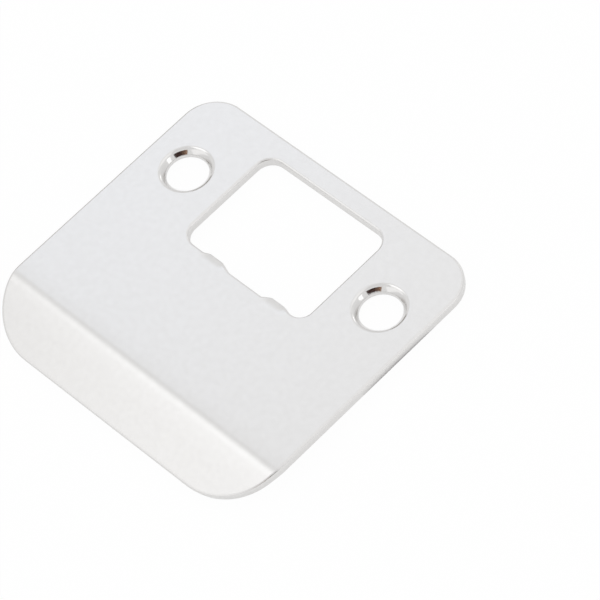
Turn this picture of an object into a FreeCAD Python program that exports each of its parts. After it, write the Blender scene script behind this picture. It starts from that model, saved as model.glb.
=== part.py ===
"""Door strike plate with an extended lip, pressed from one sheet of metal.

Millimetres. The origin is midway between the two screw holes, on the back face that lies
against the door jamb. +X runs up the jamb along the bend, +Y runs from the lip towards the
far edge, and +Z points out of the front face. The lip leaves the plate on the -Y side and is
turned back, towards -Z.
"""
import FreeCAD, Part
import math
import os
import re
import Sketcher
from FreeCAD import Placement, Rotation, Vector

NODE = "strike_plate"

# Driving dimensions: name, value, what it is
DIMENSIONS = (
    ("end_margin", 7.925, "middle of a screw hole to the end of the plate"),
    ("hole_margin", 7.9, "middle of a screw hole to the nearer side of a centred opening"),
    ("far_margin", 13.5, "screw holes to the far edge"),
    ("bend_margin", 29.3, "screw holes to the start of the bend"),
    ("sheet", 1.5, "thickness of the metal"),
    ("far_corner_radius", 6.0, "round of the two far corners"),
    ("bend_radius", 3.5, "inside radius of the bend"),
    ("lip_angle", 23.0, "how far the lip is turned back, in degrees"),
    ("lip_flat", 8.2, "flat length of the lip past the bend"),
    ("lip_corner_radius", 11.1, "round of the two lip corners"),
    ("opening_height", 25.5, "latch opening along the jamb"),
    ("opening_depth", 19.3, "latch opening across the jamb"),
    ("opening_offset", 0.3, "middle of the latch opening past the screw holes"),
    ("opening_shift", 0.25, "middle of the latch opening, off the plate's middle"),
    ("opening_corner_radius", 2.7, "round of the opening's corners"),
    ("lower_lug_land", 2.35, "straight edge from the lower corner to the nearer pressed lug"),
    ("upper_lug_land", 0.45, "straight edge from the upper corner to the nearer pressed lug"),
    ("lug_base", 5.0, "width of a lug where it leaves the edge"),
    ("lug_tip", 2.7, "width of a lug at its end"),
    ("lug_reach", 0.85, "how far a lug stands into the opening"),
    ("lug_corner_radius", 0.5, "round of a lug's corners"),
    ("lug_setback", 0.9, "how far behind the edge a lug starts to turn down"),
    ("lug_clearance", 0.1, "how far a lug's pressed mouth runs past the lug all round"),
    ("lug_bend_radius", 0.5, "inside radius of a lug's turn"),
    ("lug_angle", 15.0, "how far a lug is turned down, in degrees"),
    ("hole_bore", 6.75, "diameter of a screw hole at the back face"),
    ("head_diameter", 8.5, "diameter of the countersink at the front face"),
    ("head_angle", 82.0, "full angle of the countersink, in degrees"),
    ("edge_round", 0.4, "roll that the punch leaves along the front edges"),
)
ALIASES = {alias for alias, _, _ in DIMENSIONS}

# Least length or volume that counts, and the least upward lean of a front face
NEAR = 1e-4
FRONT_SLOPE = 0.5

# Ends of a sketch line, and the sketch's own origin and axes, as constraints name them
START, END, CENTRE = 1, 2, 3
ORIGIN, ACROSS_AXIS = -1, -1

# Places and sizes that follow from the driving dimensions
HOLE_SPACING = "opening_height + 2 * hole_margin"
PLATE_HEIGHT = f"{HOLE_SPACING} + 2 * end_margin"
OPENING_SIDE = "opening_shift - opening_height / 2"
LIP_SIDE_EDGE = "opening_offset - opening_depth / 2"
LOWER_LUG = "opening_corner_radius + lower_lug_land + lug_base / 2"
UPPER_LUG = "opening_height - opening_corner_radius - upper_lug_land - lug_base / 2"
MOUTH_RADIUS = "((lug_base / 2 + lug_clearance) ^ 2 + lug_setback ^ 2) / (2 * lug_setback)"

doc = FreeCAD.newDocument("StrikePlate")
dimensions = doc.addObject("Spreadsheet::Sheet", "Dimensions")
for row, (alias, number, meaning) in enumerate(DIMENSIONS, start=1):
    dimensions.set(f"A{row}", meaning)
    dimensions.set(f"B{row}", str(number))
    dimensions.setAlias(f"B{row}", alias)
doc.recompute()

body = doc.addObject("PartDesign::Body", "StrikePlate")
body.Label = NODE


def formula(text):
    """Name the spreadsheet before each of its aliases, so that formulas read as plain words."""
    def named(word):
        return f"Dimensions.{word[0]}" if word[0] in ALIASES else word[0]
    return re.sub("[a-z_]+", named, text)


def value(text):
    """The number that a formula gives."""
    result = dimensions.evalExpression(formula(text))
    return float(getattr(result, "Value", result))


def recompute(stage):
    """Recompute, and stop if any object of the document has failed."""
    doc.recompute()
    failed = [item.Name for item in doc.Objects if {"Invalid", "Error"} & set(item.State)]
    if failed:
        raise RuntimeError(f"{stage}: {failed} failed")


def new_sketch(name, role, across="0", upwards="0", outwards="0"):
    """An empty sketch on one of the body's own origin planes, moved by three formulas."""
    sketch = body.newObject("Sketcher::SketchObject", name)
    plane = next(item for item in body.Origin.OriginFeatures if item.Role == role)
    sketch.AttachmentSupport = [(plane, "")]
    sketch.MapMode = "FlatFace"
    for letter, text in zip("xyz", (across, upwards, outwards)):
        sketch.setExpression(f"AttachmentOffset.Base.{letter}", formula(text))
    return sketch


def draw_line(sketch, start, end):
    return sketch.addGeometry(Part.LineSegment(Vector(*start), Vector(*end)), False)


def draw_arc(sketch, centre, radius, start_degrees, end_degrees):
    circle = Part.Circle(Vector(*centre), Vector(0, 0, 1), radius)
    arc = Part.ArcOfCircle(circle, math.radians(start_degrees), math.radians(end_degrees))
    return sketch.addGeometry(arc, False)


def fix(sketch, kind, *where):
    """A constraint that has no size."""
    sketch.addConstraint(Sketcher.Constraint(kind, *where))


def measure(sketch, name, kind, where, text):
    """A constraint with a size, bound to a formula."""
    index = sketch.addConstraint(Sketcher.Constraint(kind, *where, value(text)))
    sketch.renameConstraint(index, name)
    sketch.setExpression(f"Constraints.{name}", formula(text))


def round_corner(sketch, line_after, radius):
    """Round the corner where a line of the sketch starts, and bind the arc's radius."""
    sketch.fillet(line_after, START, value(radius), True, True)
    arc = sketch.GeometryCount - 2
    measure(sketch, f"round_{arc}", "Radius", (arc,), radius)


def draw_folded_strip(sketch, flat, inner_radius, angle, tail):
    """Closed section of sheet metal: flat on the right, then a bend down into a straight tail.

    The back of the flat lies on the sketch's horizontal axis, and the bend starts on its
    upright axis.
    """
    thick, inner, turn = value("sheet"), value(inner_radius), math.radians(value(angle))
    out = Vector(-math.sin(turn), math.cos(turn), 0)
    down = Vector(-math.cos(turn), -math.sin(turn), 0)
    centre = Vector(0, -inner, 0)
    front_tangent, back_tangent = centre + out * (inner + thick), centre + out * inner
    front_tip, back_tip = front_tangent + down * value(tail), back_tangent + down * value(tail)

    far_edge = draw_line(sketch, (value(flat), 0), (value(flat), thick))
    front = draw_line(sketch, (value(flat), thick), (0, thick))
    front_arc = draw_arc(sketch, centre, inner + thick, 90, 90 + value(angle))
    tail_front = draw_line(sketch, front_tangent, front_tip)
    tail_end = draw_line(sketch, front_tip, back_tip)
    tail_back = draw_line(sketch, back_tip, back_tangent)
    back_arc = draw_arc(sketch, centre, inner, 90, 90 + value(angle))
    back = draw_line(sketch, (0, 0), (value(flat), 0))

    fix(sketch, "Coincident", far_edge, END, front, START)
    fix(sketch, "Tangent", front, END, front_arc, START)
    fix(sketch, "Tangent", front_arc, END, tail_front, START)
    fix(sketch, "Coincident", tail_front, END, tail_end, START)
    fix(sketch, "Coincident", tail_end, END, tail_back, START)
    fix(sketch, "Tangent", tail_back, END, back_arc, END)
    fix(sketch, "Tangent", back_arc, START, back, START)
    fix(sketch, "Coincident", back, END, far_edge, START)
    fix(sketch, "Coincident", front_arc, CENTRE, back_arc, CENTRE)
    fix(sketch, "Parallel", tail_front, tail_back)
    fix(sketch, "Perpendicular", tail_back, tail_end)
    fix(sketch, "Vertical", far_edge)
    fix(sketch, "Horizontal", front)
    fix(sketch, "Horizontal", back)
    fix(sketch, "Coincident", back, START, ORIGIN, START)
    measure(sketch, "flat", "Distance", (back,), flat)
    measure(sketch, "thick", "Distance", (far_edge,), "sheet")
    measure(sketch, "inner_radius", "Radius", (back_arc,), inner_radius)
    measure(sketch, "angle", "Angle", (tail_back,), f"{angle} * 1 deg")
    measure(sketch, "tail", "Distance", (tail_back,), tail)


def build_sheet():
    """The flat plate, the bend and the lip are one section, run along the whole height."""
    sketch = new_sketch("SheetSection", "YZ_Plane", across="-bend_margin")
    draw_folded_strip(sketch, "bend_margin + far_margin", "bend_radius", "lip_angle", "lip_flat")
    pad = body.newObject("PartDesign::Pad", "Sheet")
    pad.Profile = sketch
    pad.SideType = "Symmetric"
    pad.setExpression("Length", formula(PLATE_HEIGHT))
    recompute("sheet")


def cut_through(name, sketch):
    """Cut a sketch out of the whole thickness, and stop if nothing was cut."""
    before = body.Shape.Volume
    pocket = body.newObject("PartDesign::Pocket", name)
    pocket.Profile = sketch
    pocket.SideType = "Symmetric"
    pocket.Type = "ThroughAll"
    recompute(name)
    if body.Shape.Volume > before - NEAR:
        raise RuntimeError(f"{name} cuts nothing")
    return pocket


def round_edges(name, radius, chosen):
    """Fillet the chosen edges of the body with one radius."""
    base = body.Tip
    solid = base.Shape
    names = [f"Edge{index}" for index, edge in enumerate(solid.Edges, start=1) if chosen(solid, edge)]
    fillet = body.newObject("PartDesign::Fillet", name)
    fillet.Base = (base, names)
    fillet.setExpression("Radius", formula(radius))
    recompute(name)


def upright_at(points):
    """Test for a straight edge along Z that stands at one of these places in plan."""
    def chosen(solid, edge):
        ends = [vertex.Point for vertex in edge.Vertexes]
        if len(ends) < 2 or abs(ends[0].z - ends[1].z) < NEAR:
            return False
        return any(all(math.hypot(end.x - x, end.y - y) < NEAR for end in ends) for x, y in points)
    return chosen


def round_lip_corners():
    """Each lip corner is a large round, cut square to the lip, that runs out past the bend."""
    turned = "bend_radius + sheet"
    sketch = new_sketch(
        "LipCorners", "XY_Plane",
        upwards=f"-bend_margin - ({turned}) * sin(lip_angle) - lip_flat * cos(lip_angle)",
        outwards=f"sheet - ({turned}) * (1 - cos(lip_angle)) - lip_flat * sin(lip_angle)",
    )
    sketch.AttachmentOffset = Placement(Vector(), Rotation(Vector(1, 0, 0), value("lip_angle")))
    sketch.setExpression("AttachmentOffset.Rotation.Angle", formula("lip_angle"))
    half, radius, spare = value(PLATE_HEIGHT) / 2, value("lip_corner_radius"), value("sheet")
    for side, sign in (("left", -1), ("right", 1)):
        inner, outer = sign * (half - radius), sign * (half + spare)
        turn, on_side, on_end = (180, START, END) if sign < 0 else (270, END, START)
        arc = draw_arc(sketch, (inner, radius), radius, turn, turn + 90)
        drop = draw_line(sketch, (inner, 0), (inner, -spare))
        along = draw_line(sketch, (inner, -spare), (outer, -spare))
        rise = draw_line(sketch, (outer, -spare), (outer, radius))
        close = draw_line(sketch, (outer, radius), (sign * half, radius))
        fix(sketch, "Coincident", arc, on_end, drop, START)
        fix(sketch, "Coincident", drop, END, along, START)
        fix(sketch, "Coincident", along, END, rise, START)
        fix(sketch, "Coincident", rise, END, close, START)
        fix(sketch, "Coincident", close, END, arc, on_side)
        fix(sketch, "Vertical", drop)
        fix(sketch, "Horizontal", along)
        fix(sketch, "Vertical", rise)
        fix(sketch, "Horizontal", close)
        fix(sketch, "Vertical", arc, on_end, arc, CENTRE)
        fix(sketch, "Horizontal", arc, on_side, arc, CENTRE)
        fix(sketch, "PointOnObject", arc, on_end, ACROSS_AXIS)
        ends = (ORIGIN, START, arc, on_side) if sign > 0 else (arc, on_side, ORIGIN, START)
        measure(sketch, f"{side}_half", "DistanceX", ends, f"({PLATE_HEIGHT}) / 2")
        measure(sketch, f"{side}_radius", "Radius", (arc,), "lip_corner_radius")
        measure(sketch, f"{side}_below", "Distance", (drop,), "sheet")
        measure(sketch, f"{side}_beyond", "Distance", (close,), "sheet")
    cut_through("LipCornerCut", sketch)


def press_lugs():
    """Each lug is part of a flanged mouth, pressed down where the opening will be pierced."""
    middle_x = f"{OPENING_SIDE} + {LOWER_LUG}"
    middle_y = f"{LIP_SIDE_EDGE} - lug_setback + {MOUTH_RADIUS}"
    radius = value(MOUTH_RADIUS)
    circle_sketch = new_sketch("LugMouth", "XY_Plane", across=middle_x, upwards=middle_y)
    circle = circle_sketch.addGeometry(Part.Circle(Vector(), Vector(0, 0, 1), radius), False)
    fix(circle_sketch, "Coincident", circle, CENTRE, ORIGIN, START)
    measure(circle_sketch, "radius", "Radius", (circle,), MOUTH_RADIUS)
    mouth = cut_through("LugMouthCut", circle_sketch)

    section = new_sketch("LugSection", "YZ_Plane", across=f"{middle_y} + {MOUTH_RADIUS}",
                         outwards=middle_x)
    draw_folded_strip(section, "sheet", "lug_bend_radius", "lug_angle",
                      "lug_setback + lug_reach + lug_clearance")
    upright = Part.LineSegment(Vector(-radius, 0), Vector(-radius, value("sheet")))
    axis = section.addGeometry(upright, True)
    fix(section, "Vertical", axis)
    fix(section, "PointOnObject", axis, START, ACROSS_AXIS)
    measure(section, "axis_height", "Distance", (axis,), "sheet")
    measure(section, "mouth_radius", "DistanceX", (axis, START, ORIGIN, START), MOUTH_RADIUS)
    flange = body.newObject("PartDesign::Revolution", "LugFlange")
    flange.Profile = section
    flange.ReferenceAxis = (section, ["Axis0"])
    recompute("lug flange")

    pair = body.newObject("PartDesign::LinearPattern", "LugPair")
    pair.Originals = [mouth, flange]
    pair.Direction = (section, ["N_Axis"])
    pair.Occurrences = 2
    pair.setExpression("Length", formula(f"{UPPER_LUG} - ({LOWER_LUG})"))
    body.Tip = pair
    recompute("lug pair")


def pierce_opening():
    """The latch opening leaves the two lugs standing on its lip side."""
    sketch = new_sketch("Opening", "XY_Plane", across=OPENING_SIDE, upwards=LIP_SIDE_EDGE)
    base, tip, reach = value("lug_base"), value("lug_tip"), value("lug_reach")
    width, depth = value("opening_height"), value("opening_depth")
    points = [(0, 0)]
    for middle in (value(LOWER_LUG), value(UPPER_LUG)):
        points += [(middle - base / 2, 0), (middle - tip / 2, reach),
                   (middle + tip / 2, reach), (middle + base / 2, 0)]
    points += [(width, 0), (width, depth), (0, depth)]
    lines = [draw_line(sketch, here, there) for here, there in zip(points, points[1:] + points[:1])]
    for here, there in zip(lines, lines[1:] + lines[:1]):
        fix(sketch, "Coincident", here, END, there, START)
    before, rise_1, top_1, fall_1, between, rise_2, top_2, fall_2, after, side, far, other_side = lines
    for level in (before, top_1, between, top_2, after, far):
        fix(sketch, "Horizontal", level)
    for upright in (side, other_side):
        fix(sketch, "Vertical", upright)
    fix(sketch, "PointOnObject", between, START, ACROSS_AXIS)
    fix(sketch, "PointOnObject", after, START, ACROSS_AXIS)
    fix(sketch, "Coincident", before, START, ORIGIN, START)
    measure(sketch, "lower_lug", "DistanceX", (before, START, before, END),
            "opening_corner_radius + lower_lug_land")
    measure(sketch, "upper_lug", "DistanceX", (after, START, after, END),
            "opening_corner_radius + upper_lug_land")
    measure(sketch, "height", "DistanceX", (before, START, side, START), "opening_height")
    measure(sketch, "depth", "DistanceY", (side, START, side, END), "opening_depth")
    for lug, rise, top, fall in ((1, rise_1, top_1, fall_1), (2, rise_2, top_2, fall_2)):
        slope = "(lug_base - lug_tip) / 2"
        measure(sketch, f"reach_{lug}", "DistanceY", (rise, START, rise, END), "lug_reach")
        measure(sketch, f"rise_{lug}", "DistanceX", (rise, START, rise, END), slope)
        measure(sketch, f"tip_{lug}", "DistanceX", (top, START, top, END), "lug_tip")
        measure(sketch, f"fall_{lug}", "DistanceX", (fall, START, fall, END), slope)
    for corner in (rise_1, top_1, fall_1, between, rise_2, top_2, fall_2, after):
        round_corner(sketch, corner, "lug_corner_radius")
    for corner in (before, side, far, other_side):
        round_corner(sketch, corner, "opening_corner_radius")
    cut_through("OpeningCut", sketch)


def round_far_corners():
    half, far = value(PLATE_HEIGHT) / 2, value("far_margin")
    round_edges("FarCorners", "far_corner_radius", upright_at([(-half, far), (half, far)]))


def roll_front_edges():
    """The punch draws the front edges over: every edge between a front face and a wall."""
    def outward(face, point):
        return face.normalAt(*face.Surface.parameter(point))

    def chosen(solid, edge):
        faces = solid.ancestorsOfType(edge, Part.Face)
        if len(faces) < 2:
            return False
        middle = edge.valueAt((edge.FirstParameter + edge.LastParameter) / 2)
        low, high = sorted(outward(face, middle).z for face in faces)
        return high > FRONT_SLOPE and abs(low) < FRONT_SLOPE
    round_edges("EdgeRoll", "edge_round", chosen)


def drill_screw_holes():
    """Two countersunk holes, level with the middle of the plate's height."""
    sketch = new_sketch("ScrewHoles", "XY_Plane", outwards="sheet")
    for sign in (-1, 1):
        middle = Vector(sign * value(HOLE_SPACING) / 2, 0, 0)
        sketch.addGeometry(Part.Circle(middle, Vector(0, 0, 1), value("hole_bore") / 2), False)
    fix(sketch, "Equal", 0, 1)
    fix(sketch, "Symmetric", 0, CENTRE, 1, CENTRE, ORIGIN, START)
    fix(sketch, "PointOnObject", 1, CENTRE, ACROSS_AXIS)
    measure(sketch, "spacing", "DistanceX", (0, CENTRE, 1, CENTRE), HOLE_SPACING)
    measure(sketch, "bore", "Diameter", (0,), "hole_bore")
    recompute("screw hole sketch")
    before = body.Shape.Volume
    hole = body.newObject("PartDesign::Hole", "ScrewHoleCut")
    hole.Profile = sketch
    recompute("screw hole base")
    hole.DepthType = "ThroughAll"
    hole.HoleCutType = "Countersink"
    hole.HoleCutCustomValues = True
    hole.setExpression("Diameter", formula("hole_bore"))
    hole.setExpression("HoleCutDiameter", formula("head_diameter"))
    hole.setExpression("HoleCutCountersinkAngle", formula("head_angle"))
    recompute("screw holes")
    if body.Shape.Volume > before - NEAR:
        raise RuntimeError("the screw holes cut nothing")


build_sheet()
round_lip_corners()
press_lugs()
pierce_opening()
round_far_corners()
roll_front_edges()
drill_screw_holes()

shape = body.Shape
if shape.isNull() or not shape.isValid() or len(shape.Solids) != 1:
    raise RuntimeError(f"{NODE} is not one valid solid")
os.makedirs("parts", exist_ok=True)
shape.exportStep(f"parts/{NODE}.step")
print(f"{NODE}: {shape.Volume:.1f} cubic mm, box {shape.BoundBox}")
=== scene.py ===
import math

import bmesh
import bpy
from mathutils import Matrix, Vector


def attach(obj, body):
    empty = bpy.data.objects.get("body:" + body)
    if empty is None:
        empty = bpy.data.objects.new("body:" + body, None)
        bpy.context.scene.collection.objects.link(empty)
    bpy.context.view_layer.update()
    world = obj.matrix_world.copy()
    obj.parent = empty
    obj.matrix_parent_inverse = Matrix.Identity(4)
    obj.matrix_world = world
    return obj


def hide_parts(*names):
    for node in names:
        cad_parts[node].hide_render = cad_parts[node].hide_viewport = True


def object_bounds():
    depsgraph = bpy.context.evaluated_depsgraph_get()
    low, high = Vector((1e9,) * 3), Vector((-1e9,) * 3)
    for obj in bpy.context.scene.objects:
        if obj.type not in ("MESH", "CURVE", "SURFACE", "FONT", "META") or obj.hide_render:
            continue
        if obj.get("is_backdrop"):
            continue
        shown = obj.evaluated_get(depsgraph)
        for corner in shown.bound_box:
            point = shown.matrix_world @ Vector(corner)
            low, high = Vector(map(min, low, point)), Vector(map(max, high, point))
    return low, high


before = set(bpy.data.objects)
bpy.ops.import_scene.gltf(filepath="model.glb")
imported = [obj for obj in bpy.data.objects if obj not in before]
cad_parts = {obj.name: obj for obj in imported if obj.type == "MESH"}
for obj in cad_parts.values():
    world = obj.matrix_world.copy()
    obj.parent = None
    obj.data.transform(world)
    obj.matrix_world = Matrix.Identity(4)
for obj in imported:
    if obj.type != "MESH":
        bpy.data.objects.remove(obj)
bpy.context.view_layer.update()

# The strike plate: one piece of sheet steel, blanked and pierced in a press, with its lip folded
# back over the jamb's edge and two small lugs pressed down beside the latch opening. The metal is
# shaped flat first, as in the press, and the lip is folded last.
MM = 0.001
NEAR = 0.001 * MM
SHEET = 1.5 * MM
HALF_HEIGHT = 28.575 * MM
FAR_EDGE = 13.5 * MM
BEND_START = -29.3 * MM
BEND_INSIDE_RADIUS = 3.5 * MM
LIP_ANGLE = math.radians(23)
LIP_FLAT = 8.2 * MM
BEND_LENGTH = (BEND_INSIDE_RADIUS + SHEET) * LIP_ANGLE
BLANK_END = BEND_START - BEND_LENGTH - LIP_FLAT
FAR_CORNER = 6.0 * MM
LIP_CORNER = 11.1 * MM
ACROSS_X, ACROSS_Y, ACROSS_Z = (1, 0, 0), (0, 1, 0), (0, 0, 1)


def named(name):
    """Name the object just added, and its mesh."""
    piece = bpy.context.object
    piece.name = name
    piece.data.name = name
    return piece


def choose(kind, test):
    """Select the vertices, edges or faces of the piece in edit mode that pass the test."""
    bpy.ops.mesh.select_mode(type=kind)
    bpy.ops.mesh.select_all(action="DESELECT")
    shape = bmesh.from_edit_mesh(bpy.context.object.data)
    for item in {"VERT": shape.verts, "EDGE": shape.edges, "FACE": shape.faces}[kind]:
        if test(item):
            item.select_set(True)
    shape.select_flush_mode()
    bmesh.update_edit_mesh(bpy.context.object.data)


def any_of_them(item):
    return True


def round_off(kind, size, steps, profile=0.5):
    """Round off the selected corners (VERTICES) or edges (EDGES)."""
    bpy.ops.mesh.bevel(offset=size, segments=steps, profile=profile, affect=kind, clamp_overlap=False)


def cut(place, across):
    """Cut the selection where it meets the plane at this place, square to this way."""
    bpy.ops.mesh.bisect(plane_co=place, plane_no=across, threshold=NEAR / 10)


bpy.ops.object.select_all(action="DESELECT")
bpy.ops.mesh.primitive_plane_add(size=1)
plate = named("plate")
bpy.ops.object.mode_set(mode="EDIT")
bpy.ops.transform.resize(value=(2 * HALF_HEIGHT, FAR_EDGE - BLANK_END, 1), center_override=(0, 0, 0))
bpy.ops.transform.translate(value=(0, (FAR_EDGE + BLANK_END) / 2, SHEET))
choose("VERT", lambda corner: corner.co.y > 0)
round_off("VERTICES", FAR_CORNER, 20)
choose("VERT", lambda corner: corner.co.y < BLANK_END + NEAR)
round_off("VERTICES", LIP_CORNER, 32)

# The latch opening is drawn inside the blank. Its lip side steps a little at each of the two lugs.
# Each lug has its base from and to, its tip from and to, and the level that its tip reaches.
OPENING_LOW, OPENING_HIGH = -12.5 * MM, 13.0 * MM
OPENING_FAR_SIDE = 9.95 * MM
OPENING_CORNER = 2.7 * MM
OPENING_NEAR_CORNER = 2.1 * MM
OPENING_LEVELS = (-9.16 * MM, -9.44 * MM, -9.0 * MM)
LUGS = (
    ((-7.7 * MM, -1.9 * MM), (-6.75 * MM, -4.2 * MM), -8.58 * MM),
    ((5.05 * MM, 10.5 * MM), (6.3 * MM, 8.85 * MM), -8.47 * MM),
)
LUG_CORNER = 0.2 * MM
LUG_SPARE = 0.4 * MM
outline = [(OPENING_LOW, OPENING_LEVELS[0])]
for (base, tip, end), before, after in zip(LUGS, OPENING_LEVELS, OPENING_LEVELS[1:]):
    outline += [(base[0], before), (tip[0], end), (tip[1], end), (base[1], after)]
outline += [
    (OPENING_HIGH, OPENING_LEVELS[2]),
    (OPENING_HIGH, OPENING_FAR_SIDE),
    (OPENING_LOW, OPENING_FAR_SIDE),
]
bpy.ops.mesh.select_mode(type="VERT")
bpy.ops.mesh.select_all(action="DESELECT")
bpy.ops.mesh.primitive_circle_add(vertices=len(outline), radius=MM, fill_type="NGON")
shape = bmesh.from_edit_mesh(plate.data)
for corner, (x, y) in zip([corner for corner in shape.verts if corner.select], outline):
    corner.co = (x, y, SHEET)
bmesh.update_edit_mesh(plate.data)


def in_opening(place):
    across = OPENING_LOW - MM < place.x < OPENING_HIGH + MM
    return across and OPENING_LEVELS[1] - MM < place.y < OPENING_FAR_SIDE + MM


def by_a_lug(place):
    return any(base[0] - LUG_SPARE < place.x < base[1] + LUG_SPARE for base, tip, end in LUGS)


def on_lip_side(corner):
    return in_opening(corner.co) and corner.co.y < 0


choose("VERT", lambda corner: on_lip_side(corner) and by_a_lug(corner.co))
round_off("VERTICES", LUG_CORNER, 4)
choose("VERT", lambda corner: on_lip_side(corner) and corner.co.x > OPENING_HIGH - NEAR)
round_off("VERTICES", OPENING_NEAR_CORNER, 12)
choose(
    "VERT",
    lambda corner: in_opening(corner.co) and (corner.co.y > 0 or corner.co.x < OPENING_LOW + NEAR),
)
round_off("VERTICES", OPENING_CORNER, 12)

# The two round fixing holes, one at each end of the plate, stand on its middle line. They are drawn
# at the full width of their countersinks.
HOLE_PLACES = (-20.65 * MM, 20.65 * MM)
CONE_RADIUS = 4.15 * MM
BORE_RADIUS = 3.375 * MM
CONE_ANGLE = math.radians(82)
for x in HOLE_PLACES:
    bpy.ops.mesh.primitive_circle_add(
        vertices=96, radius=CONE_RADIUS, fill_type="NOTHING", location=(x, 0, SHEET)
    )


def at_hole(place, x, radius):
    return abs(math.hypot(place.x - x, place.y) - radius) < 10 * NEAR


# The blank's face is made as two halves that meet on a cut across the holes, so that the opening
# and the holes stay open.
choose("FACE", any_of_them)
bpy.ops.mesh.delete(type="ONLY_FACE")
choose("VERT", any_of_them)
cut((0, 0, 0), ACROSS_Y)
crossings = (
    (-HALF_HEIGHT, HOLE_PLACES[0] - CONE_RADIUS),
    (HOLE_PLACES[0] + CONE_RADIUS, OPENING_LOW),
    (OPENING_HIGH, HOLE_PLACES[1] - CONE_RADIUS),
    (HOLE_PLACES[1] + CONE_RADIUS, HALF_HEIGHT),
)
for low, high in crossings:
    choose("VERT", lambda end: abs(end.co.y) < NEAR and low - NEAR < end.co.x < high + NEAR)
    bpy.ops.mesh.edge_face_add()
for side in (-1, 1):
    choose("VERT", lambda end: end.co.y * side > -NEAR)
    bpy.ops.mesh.edge_face_add()

# The sheet gets its thickness, and the holes their countersinks: a cone is drilled into each from
# the front, and under it the hole narrows to its bore.
choose("FACE", any_of_them)
bpy.ops.mesh.extrude_region_move(TRANSFORM_OT_translate={"value": (0, 0, -SHEET)})
choose("FACE", any_of_them)
bpy.ops.mesh.normals_make_consistent(inside=False)
CONE_END = SHEET - (CONE_RADIUS - BORE_RADIUS) / math.tan(CONE_ANGLE / 2)
narrowing = BORE_RADIUS / CONE_RADIUS
for x in HOLE_PLACES:
    choose("FACE", lambda face: all(at_hole(end.co, x, CONE_RADIUS) for end in face.verts))
    cut((0, 0, CONE_END), ACROSS_Z)
    choose("VERT", lambda end: at_hole(end.co, x, CONE_RADIUS) and end.co.z < SHEET - NEAR)
    bpy.ops.transform.resize(value=(narrowing, narrowing, 1), center_override=(x, 0, 0))

# The punch leaves a roll on the front edges and a slight break on the back edges. A narrow ring
# inside each of them keeps the flat faces flat.
OUTER_ROLL = 0.5 * MM
OUTER_ROLL_PROFILE = 0.6
EDGE_ROLL = 0.4 * MM
CONE_ROLL = 0.36 * MM
BACK_BREAK = 0.06 * MM
BORE_ROLL = 0.12 * MM
HOLD = 0.05 * MM
FLAT = 0.999
NEARLY_FLAT = 0.95
UPRIGHT = 0.01
LARGE = 100 * MM * MM


def is_flat(face):
    return abs(face.normal.z) > FLAT


def is_large_and_flat(face):
    return is_flat(face) and face.calc_area() > LARGE


def on_rim(edge, level, hole):
    """True for an edge at this height between a wall and a flat face, of a round hole or not."""
    if any(abs(end.co.z - level) > NEAR for end in edge.verts) or len(edge.link_faces) != 2:
        return False
    if min(abs(face.normal.z) for face in edge.link_faces) > NEARLY_FLAT:
        return False
    place = edge.verts[0].co
    in_a_hole = any(math.hypot(place.x - x, place.y) < CONE_RADIUS + NEAR for x in HOLE_PLACES)
    return hole == in_a_hole


choose("EDGE", lambda edge: on_rim(edge, SHEET, False) and not in_opening(edge.verts[0].co))
round_off("EDGES", OUTER_ROLL, 10, OUTER_ROLL_PROFILE)
choose("EDGE", lambda edge: on_rim(edge, SHEET, False))
round_off("EDGES", EDGE_ROLL, 6)
choose("EDGE", lambda edge: on_rim(edge, SHEET, True))
round_off("EDGES", CONE_ROLL, 6)
choose("EDGE", lambda edge: all(abs(end.co.z - CONE_END) < NEAR for end in edge.verts))
round_off("EDGES", BORE_ROLL, 3)
choose("EDGE", lambda edge: on_rim(edge, 0, False) or on_rim(edge, 0, True))
round_off("EDGES", BACK_BREAK, 3)
choose("FACE", is_large_and_flat)
bpy.ops.mesh.inset(thickness=HOLD, use_even_offset=True, use_boundary=True)
for level in (SHEET - EDGE_ROLL - HOLD, BACK_BREAK + HOLD):
    choose("FACE", lambda face: abs(face.normal.z) < UPRIGHT)
    cut((0, 0, level), ACROSS_Z)

# The lugs are pressed down a little with the metal round them, which dishes. The metal there is
# first cut into a fine field of small faces.
FIELD_MARGIN = 0.8 * MM
FIELD_DEPTH = 1.9 * MM
FIELD_STEP = 0.2 * MM
FIELD_START = OPENING_LEVELS[1] - FIELD_DEPTH
FIELD_END = -8 * MM
LUG_DROP = 0.40 * MM
DISH_REACH = 2.1 * MM


def in_lug_field(face, base):
    return all(
        base[0] - FIELD_MARGIN - NEAR < end.co.x < base[1] + FIELD_MARGIN + NEAR
        and FIELD_START - NEAR < end.co.y < FIELD_END
        for end in face.verts
    )


choose("FACE", is_large_and_flat)
cut((0, FIELD_START, 0), ACROSS_Y)
for base, tip, end in LUGS:
    for x in (base[0] - FIELD_MARGIN, base[1] + FIELD_MARGIN):
        choose("FACE", lambda face: all(FIELD_START - NEAR < end.co.y < NEAR for end in face.verts))
        cut((x, 0, 0), ACROSS_X)
    count = round((base[1] - base[0] + 2 * FIELD_MARGIN) / FIELD_STEP)
    for step in range(1, count):
        choose("FACE", lambda face: in_lug_field(face, base))
        cut((base[0] - FIELD_MARGIN + step * FIELD_STEP, 0, 0), ACROSS_X)
    count = round((end - FIELD_START) / FIELD_STEP)
    for step in range(1, count):
        choose("FACE", lambda face: in_lug_field(face, base) and is_flat(face))
        cut((0, FIELD_START + step * FIELD_STEP, 0), ACROSS_Y)
for base, tip, end in LUGS:
    choose("VERT", lambda corner: tip[0] < corner.co.x < tip[1] and abs(corner.co.y - end) < NEAR)
    bpy.ops.transform.translate(
        value=(0, 0, -LUG_DROP),
        use_proportional_edit=True,
        use_proportional_connected=False,
        proportional_edit_falloff="SHARP",
        proportional_size=DISH_REACH,
    )
choose("VERT", any_of_them)
bpy.ops.mesh.remove_doubles(threshold=3 * NEAR)

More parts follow.
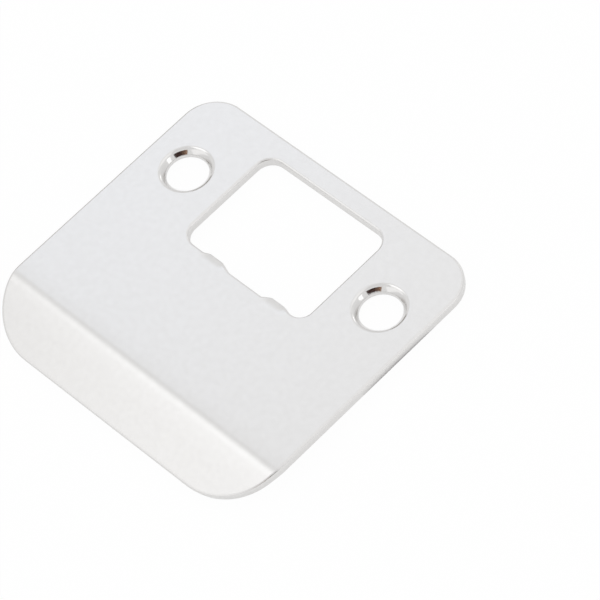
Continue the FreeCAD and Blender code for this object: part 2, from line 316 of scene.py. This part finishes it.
# The lip is folded over a rounded former: the flat blank is cut across in fine steps, and at each
# step everything beyond it is drawn up to the step before and turned a little. The bend eases in,
# turns and eases out, each given as its length, its angle in degrees and its steps.
FOLD = ((2.5 * MM, 1.6, 6), (BEND_LENGTH, 19.0, 14), (3.5 * MM, 2.4, 8))
SMOOTH_UP_TO = math.radians(35)
steps = []
line = BEND_START + FOLD[0][0]
for length, angle, count in FOLD:
    for step in range(count):
        steps.append((line, length / count, math.radians(angle) / count))
        line -= length / count
choose("FACE", any_of_them)
cut((0, steps[0][0], 0), ACROSS_Y)
for line, length, turn in steps:
    choose("FACE", any_of_them)
    cut((0, line - length, 0), ACROSS_Y)
for line, length, turn in reversed(steps):
    choose("VERT", lambda end: end.co.y < line - length + NEAR)
    bpy.ops.transform.translate(value=(0, length, 0))
    centre = (0, line, SHEET - length / turn)
    bpy.ops.transform.rotate(value=-turn, orient_axis="X", center_override=centre)
bpy.ops.object.mode_set(mode="OBJECT")
bpy.ops.object.shade_smooth_by_angle(angle=SMOOTH_UP_TO)

# Satin nickel: a bright, faintly warm plating over pressed steel. Its gloss is broken up by a
# very fine even grain and a faint mottle, and the drilled countersinks are smoother than the rest.
BURNISHED_TO, SATIN_FROM = 4.2 * MM, 4.5 * MM
BURNISHED_ROUGHNESS, SATIN_ROUGHNESS = 0.1, 0.25
PLATING_THIN = (0.809, 0.800, 0.791, 1)
PLATING_THICK = (0.788, 0.778, 0.768, 1)
satin_nickel = bpy.data.materials.new("satin_nickel")
satin_nickel.use_nodes = True
nodes, links = satin_nickel.node_tree.nodes, satin_nickel.node_tree.links
shader = nodes["Principled BSDF"]
shader.inputs["Metallic"].default_value = 1.0
place = nodes.new("ShaderNodeTexCoord")
spread = nodes.new("ShaderNodeSeparateXYZ")
links.new(place.outputs["Object"], spread.inputs["Vector"])
either_hole = nodes.new("ShaderNodeMath")
either_hole.operation = "ABSOLUTE"
links.new(spread.outputs["X"], either_hole.inputs[0])
from_hole = nodes.new("ShaderNodeMath")
from_hole.operation = "SUBTRACT"
from_hole.inputs[1].default_value = HOLE_PLACES[1]
links.new(either_hole.outputs["Value"], from_hole.inputs[0])
across = nodes.new("ShaderNodeCombineXYZ")
links.new(from_hole.outputs["Value"], across.inputs["X"])
links.new(spread.outputs["Y"], across.inputs["Y"])
radius = nodes.new("ShaderNodeVectorMath")
radius.operation = "LENGTH"
links.new(across.outputs["Vector"], radius.inputs[0])
burnish = nodes.new("ShaderNodeMapRange")
burnish.inputs["From Min"].default_value = BURNISHED_TO
burnish.inputs["From Max"].default_value = SATIN_FROM
burnish.inputs["To Min"].default_value = BURNISHED_ROUGHNESS
burnish.inputs["To Max"].default_value = SATIN_ROUGHNESS
links.new(radius.outputs["Value"], burnish.inputs["Value"])
links.new(burnish.outputs["Result"], shader.inputs["Roughness"])
grain = nodes.new("ShaderNodeTexNoise")
grain.inputs["Scale"].default_value = 6000.0
grain.inputs["Detail"].default_value = 3.0
links.new(place.outputs["Object"], grain.inputs["Vector"])
mottle = nodes.new("ShaderNodeTexNoise")
mottle.inputs["Scale"].default_value = 1100.0
mottle.inputs["Detail"].default_value = 3.0
links.new(place.outputs["Object"], mottle.inputs["Vector"])
tint = nodes.new("ShaderNodeValToRGB")
for stop, (spot, colour) in zip(tint.color_ramp.elements, ((0.3, PLATING_THIN), (0.7, PLATING_THICK))):
    stop.position = spot
    stop.color = colour
links.new(mottle.outputs["Fac"], tint.inputs["Fac"])
links.new(tint.outputs["Color"], shader.inputs["Base Color"])
bump = nodes.new("ShaderNodeBump")
bump.inputs["Strength"].default_value = 0.2
bump.inputs["Distance"].default_value = 0.02 * MM
links.new(grain.outputs["Fac"], bump.inputs["Height"])
links.new(bump.outputs["Normal"], shader.inputs["Normal"])
plate.data.materials.append(satin_nickel)
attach(plate, "root")
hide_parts("strike_plate")

# The table it lies on: a white sheet, under the far edge and the end of the lip. It is as white to
# the camera as the paper of a studio sweep, half as lit to the metal, and keeps a little of the shade.
LIP_END_DROP = 3.48 * MM
REST_SPAN = 51.7 * MM
TABLE_WIDTH = 4.0
LIT_TO_CAMERA = 0.97
LIT_TO_METAL = 0.50


def matt(name, colour):
    """A matt material of this colour."""
    material = bpy.data.materials.new(name)
    material.use_nodes = True
    shader = material.node_tree.nodes["Principled BSDF"]
    shader.inputs["Base Color"].default_value = colour
    shader.inputs["Roughness"].default_value = 1.0
    shader.inputs["Specular IOR Level"].default_value = 0.0
    return material


rest_angle = math.atan2(LIP_END_DROP, REST_SPAN)
bpy.ops.object.select_all(action="DESELECT")
bpy.ops.mesh.primitive_plane_add(
    size=TABLE_WIDTH, location=(0, FAR_EDGE, 0), rotation=(rest_angle, 0, 0)
)
floor = named("floor")
floor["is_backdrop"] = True
floor_white = matt("floor_white", (0.95, 0.95, 0.95, 1))
nodes, links = floor_white.node_tree.nodes, floor_white.node_tree.links
lit_paper = nodes.new("ShaderNodeEmission")
lit_paper.inputs["Color"].default_value = (1, 1, 1, 1)
lit_paper.inputs["Strength"].default_value = 1.0
ray = nodes.new("ShaderNodeLightPath")
lit_share = nodes.new("ShaderNodeMath")
lit_share.operation = "MULTIPLY_ADD"
lit_share.inputs[1].default_value = LIT_TO_CAMERA
mirrored = nodes.new("ShaderNodeMath")
mirrored.operation = "MULTIPLY"
mirrored.inputs[1].default_value = LIT_TO_METAL
links.new(ray.outputs["Is Camera Ray"], lit_share.inputs[0])
links.new(ray.outputs["Is Glossy Ray"], mirrored.inputs[0])
links.new(mirrored.outputs["Value"], lit_share.inputs[2])
paper = nodes.new("ShaderNodeMixShader")
links.new(lit_share.outputs["Value"], paper.inputs["Fac"])
links.new(nodes["Principled BSDF"].outputs["BSDF"], paper.inputs[1])
links.new(lit_paper.outputs["Emission"], paper.inputs[2])
links.new(paper.outputs["Shader"], nodes["Material Output"].inputs["Surface"])
floor.data.materials.append(floor_white)

# The studio round it: pale walls, dimmer down at the floor and overhead than in between. Soft
# lamps hang over the table and stand round it, and the flat metal mirrors the ones on the left.
WALL_GREYS = ((0.08, 0.78), (0.30, 0.85), (0.62, 0.88), (0.93, 0.80))
world = bpy.data.worlds.new("studio")
bpy.context.scene.world = world
world.use_nodes = True
nodes, links = world.node_tree.nodes, world.node_tree.links
direction = nodes.new("ShaderNodeTexCoord")
height = nodes.new("ShaderNodeSeparateXYZ")
links.new(direction.outputs["Generated"], height.inputs["Vector"])
walls = nodes.new("ShaderNodeValToRGB")
walls.color_ramp.interpolation = "B_SPLINE"
for spot, grey in WALL_GREYS:
    stop = walls.color_ramp.elements.new(spot)
    stop.color = (grey, grey, grey, 1)
walls.color_ramp.elements.remove(walls.color_ramp.elements[0])
walls.color_ramp.elements.remove(walls.color_ramp.elements[-1])
links.new(height.outputs["Z"], walls.inputs["Fac"])
links.new(walls.outputs["Color"], nodes["Background"].inputs["Color"])
nodes["Background"].inputs["Strength"].default_value = 1.0


def softbox(name, centre, size, brightness, colour, aim=None):
    """A flat softbox of this brightness, as a mirror would show it, facing the plate or along aim."""
    lamp = bpy.data.lights.new(name, "AREA")
    lamp.shape = "RECTANGLE"
    lamp.size, lamp.size_y = size
    lamp.energy = brightness * math.pi * size[0] * size[1]
    lamp.color = colour
    holder = bpy.data.objects.new(name, lamp)
    holder.location = centre
    facing = Vector(aim or [-along for along in centre])
    holder.rotation_euler = facing.to_track_quat("-Z", "Y").to_euler()
    bpy.context.scene.collection.objects.link(holder)


DOWN = (0, 0, -1)
WHITE = (1.0, 1.0, 1.0)
softbox("far_softbox", (-0.85, 0.463, 1.0), (0.46, 0.474), 0.335, (0.74, 0.83, 1.0), DOWN)
softbox("far_softbox_right", (-0.52, 0.463, 1.0), (0.20, 0.474), 0.215, (0.95, 0.97, 1.0), DOWN)
softbox("near_softbox", (-0.48, -0.45, 1.0), (0.58, 0.80), 0.32, (0.99, 0.99, 0.99), DOWN)
softbox("near_softbox_middle", (-0.425, -0.26, 0.99), (0.47, 0.36), 0.20, (0.91, 0.96, 1.0), DOWN)
softbox("right_softbox", (0.12, 0.5, 1.0), (0.80, 0.66), 0.22, WHITE, DOWN)
softbox("near_wall", (-0.35, -1.1, 0.62), (1.4, 0.6), 0.20, WHITE)
softbox("right_strip", (0.86, 0.44, 0.46), (0.30, 0.40), 0.5, WHITE)
softbox("far_strip", (-0.24, 1.02, 0.54), (0.25, 0.25), 0.6, WHITE)

# A dark brown card stands behind the camera, for what is dark round it. It shows only in the
# metal, as the brown patch in each of the smooth countersinks.
CARD_AZIMUTH, CARD_ELEVATION = math.radians(-29), math.radians(31)
CARD_DISTANCE = 0.9
DARK_CARD_SIZE = (0.96, 0.37, 1)
NEARLY_BLACK = (0.06, 0.035, 0.03, 1)
BROWN = (0.34, 0.20, 0.13, 1)


def mirrored_only(card):
    """Keep this card out of the picture, and out of the light on matt things."""
    card.visible_camera = False
    card.visible_diffuse = False


bpy.ops.object.select_all(action="DESELECT")
bpy.ops.mesh.primitive_plane_add(size=1)
dark_card = named("dark_card")
card_way = Vector((math.cos(CARD_AZIMUTH), math.sin(CARD_AZIMUTH), math.tan(CARD_ELEVATION)))
dark_card.scale = DARK_CARD_SIZE
dark_card.location = card_way * CARD_DISTANCE
dark_card.rotation_euler = (-card_way).to_track_quat("Z", "Y").to_euler()
mirrored_only(dark_card)
dark_card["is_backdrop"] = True
dark_brown = matt("dark_brown", BROWN)
nodes, links = dark_brown.node_tree.nodes, dark_brown.node_tree.links
place = nodes.new("ShaderNodeTexCoord")
along = nodes.new("ShaderNodeSeparateXYZ")
links.new(place.outputs["Object"], along.inputs["Vector"])
browns = nodes.new("ShaderNodeValToRGB")
for stop, (spot, colour) in zip(browns.color_ramp.elements, ((0.0, NEARLY_BLACK), (0.5, BROWN))):
    stop.position = spot
    stop.color = colour
links.new(along.outputs["X"], browns.inputs["Fac"])
links.new(browns.outputs["Color"], nodes["Principled BSDF"].inputs["Base Color"])
dark_card.data.materials.append(dark_brown)

# A grey card stands low on the left, beyond the plate. It shows only in the metal, as the thin
# dark line on the rolled edges that face it.
GREY_CARD_PLACE = (-1.0, 0.37, 0.23)
GREY_CARD_SIZE = (0.46, 0.45, 1)
bpy.ops.object.select_all(action="DESELECT")
bpy.ops.mesh.primitive_plane_add(
    size=1, location=GREY_CARD_PLACE, rotation=(0, math.radians(90), 0)
)
grey_card = named("grey_card")
grey_card.scale = GREY_CARD_SIZE
mirrored_only(grey_card)
grey_card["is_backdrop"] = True
grey_card.data.materials.append(matt("card_grey", (0.44, 0.42, 0.40, 1)))

# The shade in the gap under the plate's right edge, which the even white of the paper takes away.
# It shows only in the metal, as a thin dark line low on that edge.
SHADE_FROM_EDGE = 0.5 * MM
SHADE_ALONG = -4 * MM
SHADE_HALF_SIZE = (0.45 * MM, 7.5 * MM, 1)
SHADE_TURN = math.radians(2.3)
OVER_TABLE = 0.02 * MM
bpy.ops.object.select_all(action="DESELECT")
bpy.ops.mesh.primitive_circle_add(
    vertices=48, radius=1, fill_type="NGON", rotation=(rest_angle, 0, SHADE_TURN)
)
gap_shade = named("gap_shade")
table_there = (SHADE_ALONG - FAR_EDGE) * math.tan(rest_angle)
gap_shade.location = (HALF_HEIGHT + SHADE_FROM_EDGE, SHADE_ALONG, table_there + OVER_TABLE)
gap_shade.scale = SHADE_HALF_SIZE
mirrored_only(gap_shade)
gap_shade.visible_shadow = False
gap_shade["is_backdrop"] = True
gap_shade.data.materials.append(matt("shade_grey", (0.46, 0.45, 0.46, 1)))

# The camera stands where the photograph's did, over the lip side and a little to the right. Its
# long lens and its shift come from the plate's outlines in the photograph.
camera_data = bpy.data.cameras.new("camera")
camera_data.lens = 226.546
camera_data.sensor_width = 36.0
camera_data.shift_x = 0.0044
camera_data.shift_y = 0.0026
camera_data.clip_start = 0.01
camera_data.clip_end = 10.0
camera = bpy.data.objects.new("camera", camera_data)
bpy.context.scene.collection.objects.link(camera)
camera.location = (0.2853375, -0.1807368, 0.4558799)
camera.rotation_euler = [math.radians(angle) for angle in (34.53487, 9.33891, 44.4483)]
bpy.context.scene.camera = camera

bpy.context.scene.view_settings.view_transform = "Standard"

low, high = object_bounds()
